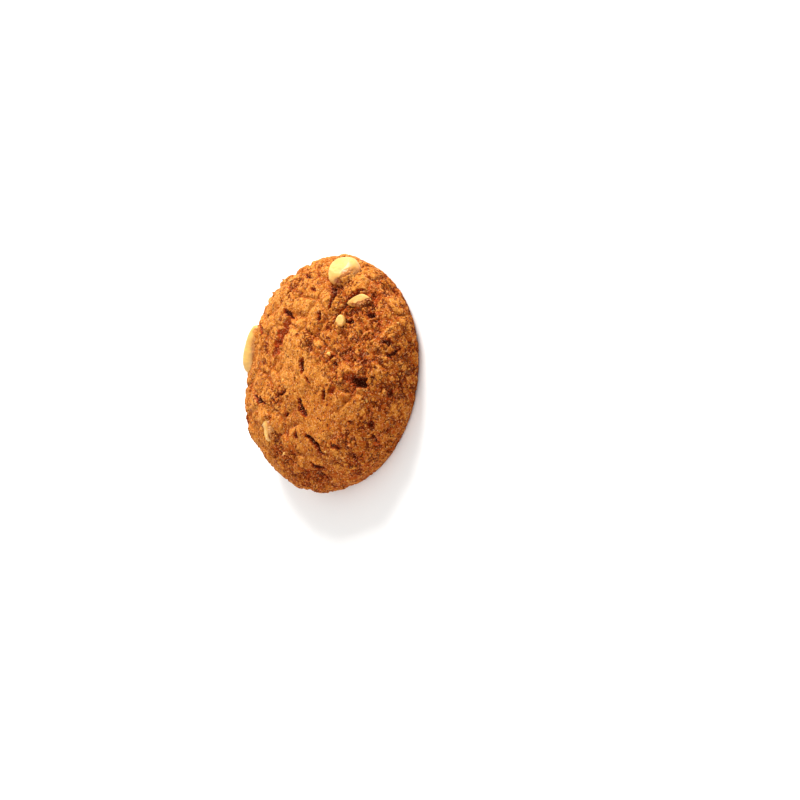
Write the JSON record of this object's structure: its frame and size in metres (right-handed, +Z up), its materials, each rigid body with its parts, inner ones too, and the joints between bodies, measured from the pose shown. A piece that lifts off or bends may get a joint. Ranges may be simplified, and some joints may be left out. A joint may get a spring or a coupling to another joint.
{
  "type": "anzac biscuit",
  "caption": "Round domed biscuit with a crackled, crumbly brown crust and broken pale nuts baked into it, lying on its flat base.",
  "frame": {"origin": "on the table, under the middle of the flat base", "axes": "+Z up through the crown of the dome; +X and +Y lie level, along the base"},
  "size_m": [0.0764, 0.0748, 0.0215],
  "materials": {
    "baked_dough": "rough baked crust",
    "cashew": "satin"
  },
  "bodies": {
    "root": {"dough": "baked_dough", "cashew_top": "cashew", "cashew_rim": "cashew", "cashew_under_crust": "cashew", "cashew_slab": "cashew", "cashew_bit": "cashew", "cashew_back": "cashew"}
  },
  "joints": []
}
